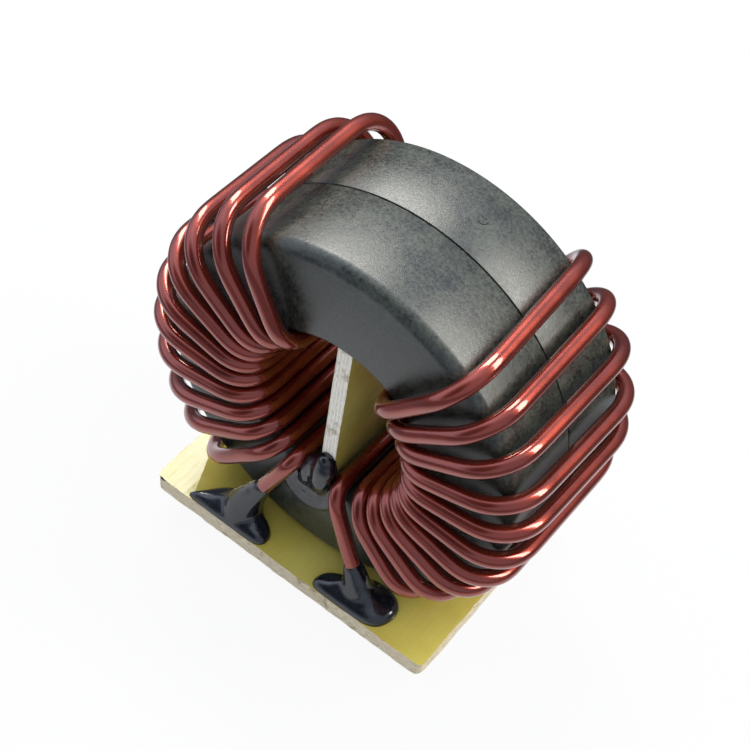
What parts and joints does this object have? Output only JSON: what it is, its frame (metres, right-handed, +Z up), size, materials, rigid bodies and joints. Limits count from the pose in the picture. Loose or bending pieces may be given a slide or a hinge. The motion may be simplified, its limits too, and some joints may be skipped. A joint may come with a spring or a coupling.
{
  "type": "toroidal common-mode inductor",
  "caption": "Upright ring-core inductor: two thick enamelled-wire windings on a cased core, split by a divider plate, standing on a small glass-fibre base with solder pins.",
  "frame": {"origin": "centre of the base plate's underside, where the part stands on a circuit board", "axes": "+X from the left winding to the right one, +Y along the core's axis towards the back, +Z up; the front, where the divider's glued foot and the two short leads show, faces -Y"},
  "size_m": [0.0453, 0.0278, 0.0449],
  "materials": {
    "case_plastic": "satin moulded",
    "core_metal": "wound thin strip",
    "wire_enamel": "glossy enamel over copper",
    "glass_fibre": "pressed glass-fibre laminate",
    "epoxy": "glossy, set as it flowed"
  },
  "bodies": {
    "root": {"base_plate": "glass_fibre", "divider_plate": "glass_fibre", "case_front": "case_plastic", "case_rear": "case_plastic", "core": "core_metal", "winding_left": "wire_enamel", "winding_right": "wire_enamel", "epoxy_front_left": "epoxy", "epoxy_front_right": "epoxy", "epoxy_rear_left": "epoxy", "epoxy_rear_right": "epoxy", "epoxy_divider_foot": "epoxy"}
  },
  "joints": []
}
